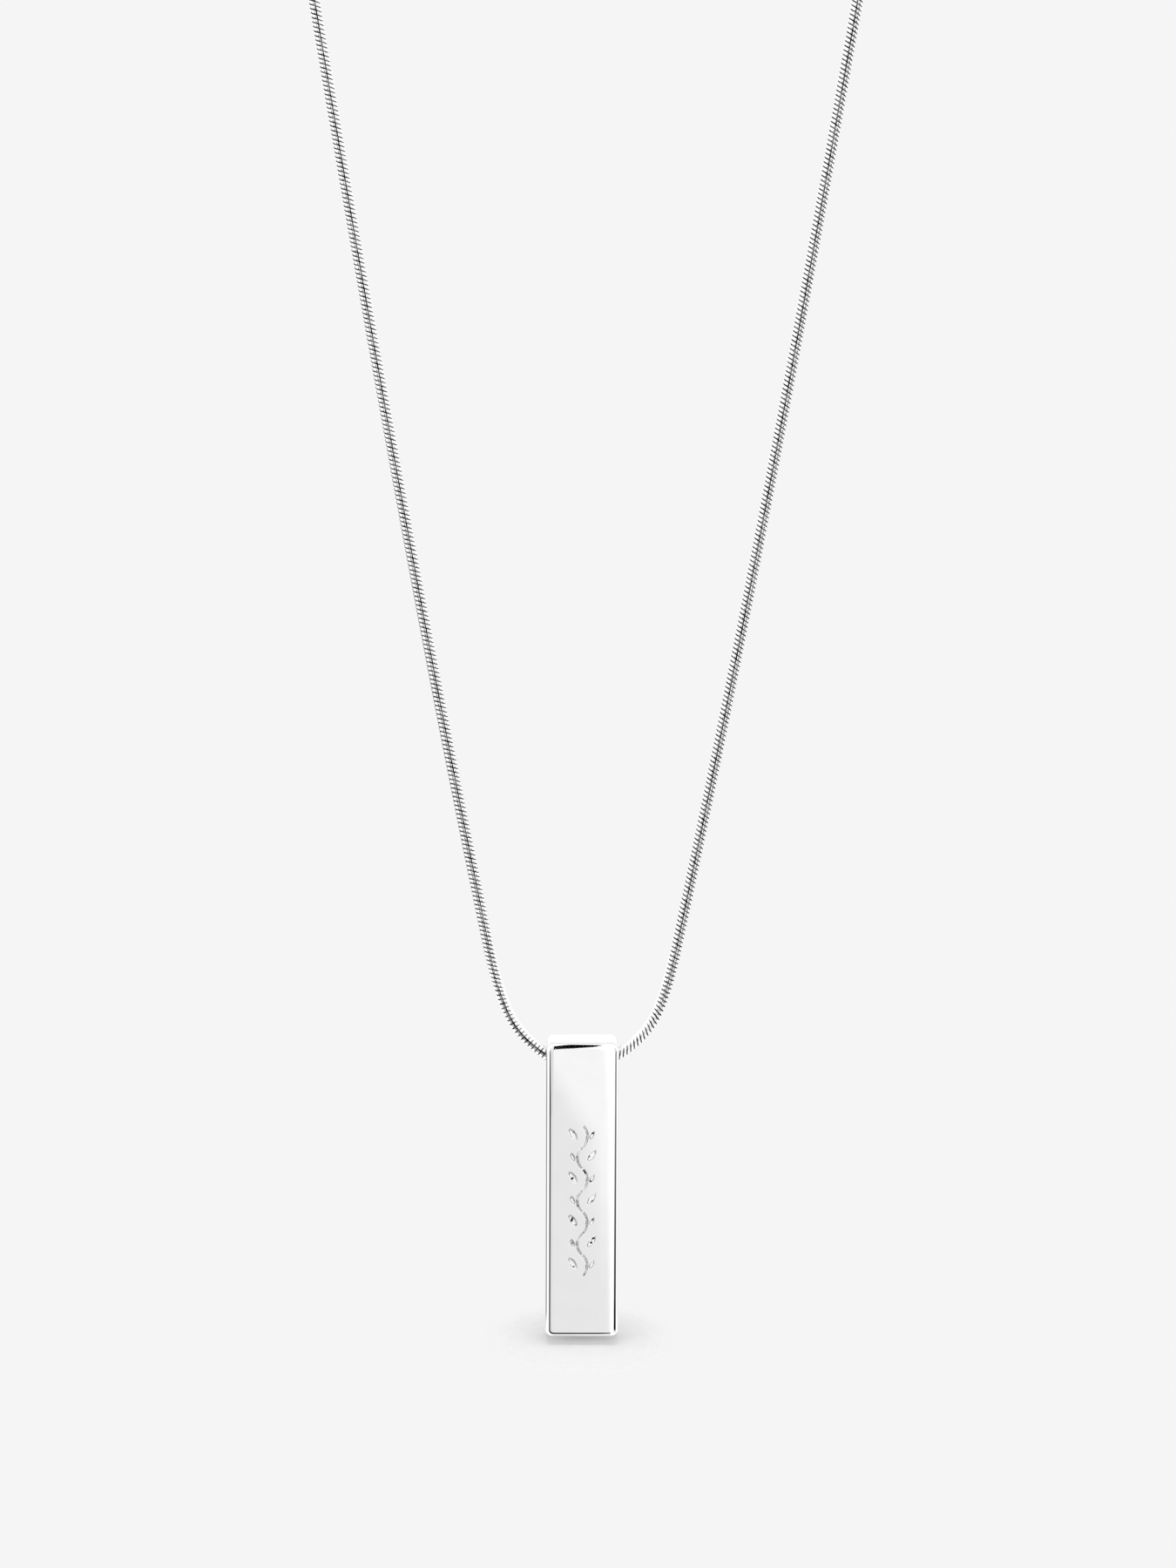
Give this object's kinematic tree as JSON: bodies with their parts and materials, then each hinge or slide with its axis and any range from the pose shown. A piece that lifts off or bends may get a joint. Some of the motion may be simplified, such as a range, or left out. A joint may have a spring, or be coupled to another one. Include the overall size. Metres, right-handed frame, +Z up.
{
  "type": "bar pendant necklace",
  "caption": "Upright rectangular bar pendant, drilled across near its top and hung on a fine snake chain that closes with a lobster clasp.",
  "frame": {"origin": "inner side of the loop under the clasp, where the nape of the neck or a hook bears", "axes": "+X to the right seen from the engraved front, +Y from the front to the back, +Z up along the hanging bar"},
  "size_m": [0.073, 0.006, 0.2272],
  "materials": {
    "bar_silver": "mirror polish",
    "chain_silver": "polished",
    "fitting_silver": "polished"
  },
  "bodies": {
    "necklace": {"chain": "chain_silver", "end_cap_left": "fitting_silver", "end_cap_right": "fitting_silver", "jump_ring_left": "fitting_silver", "jump_ring_right": "fitting_silver", "clasp": "fitting_silver"},
    "pendant": {"bar": "bar_silver"}
  },
  "joints": [
    {"name": "bar_swing", "type": "hinge", "parent": "necklace", "child": "pendant", "pos_m": [0, 0, -0.19336], "axis": [1, 0, 0], "range_deg": [-90, 90]}
  ]
}
